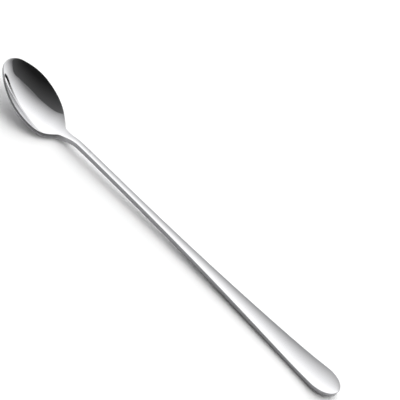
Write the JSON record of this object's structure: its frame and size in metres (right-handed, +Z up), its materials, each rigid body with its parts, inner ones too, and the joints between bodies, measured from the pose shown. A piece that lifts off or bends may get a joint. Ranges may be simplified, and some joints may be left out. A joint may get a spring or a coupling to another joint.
{
  "type": "iced tea spoon",
  "caption": "Long-handled stainless steel spoon for stirring tall drinks: an egg-shaped bowl on a slim neck that flares to a dished handle with a rounded end.",
  "frame": {"origin": "middle of the spoon's footprint, on the surface that it lies on", "axes": "+X from the bowl's tip to the handle's end, +Y across the spoon, +Z up out of the bowl's mouth"},
  "size_m": [0.23, 0.0284, 0.0136],
  "materials": {
    "bowl_steel": "mirror-polished 18/8 stainless steel",
    "handle_steel": "polished 18/8 stainless steel",
    "weld_steel": "weld ground flush and polished"
  },
  "bodies": {
    "root": {"bowl": "bowl_steel", "handle": "handle_steel", "neck_weld": "weld_steel"}
  },
  "joints": []
}
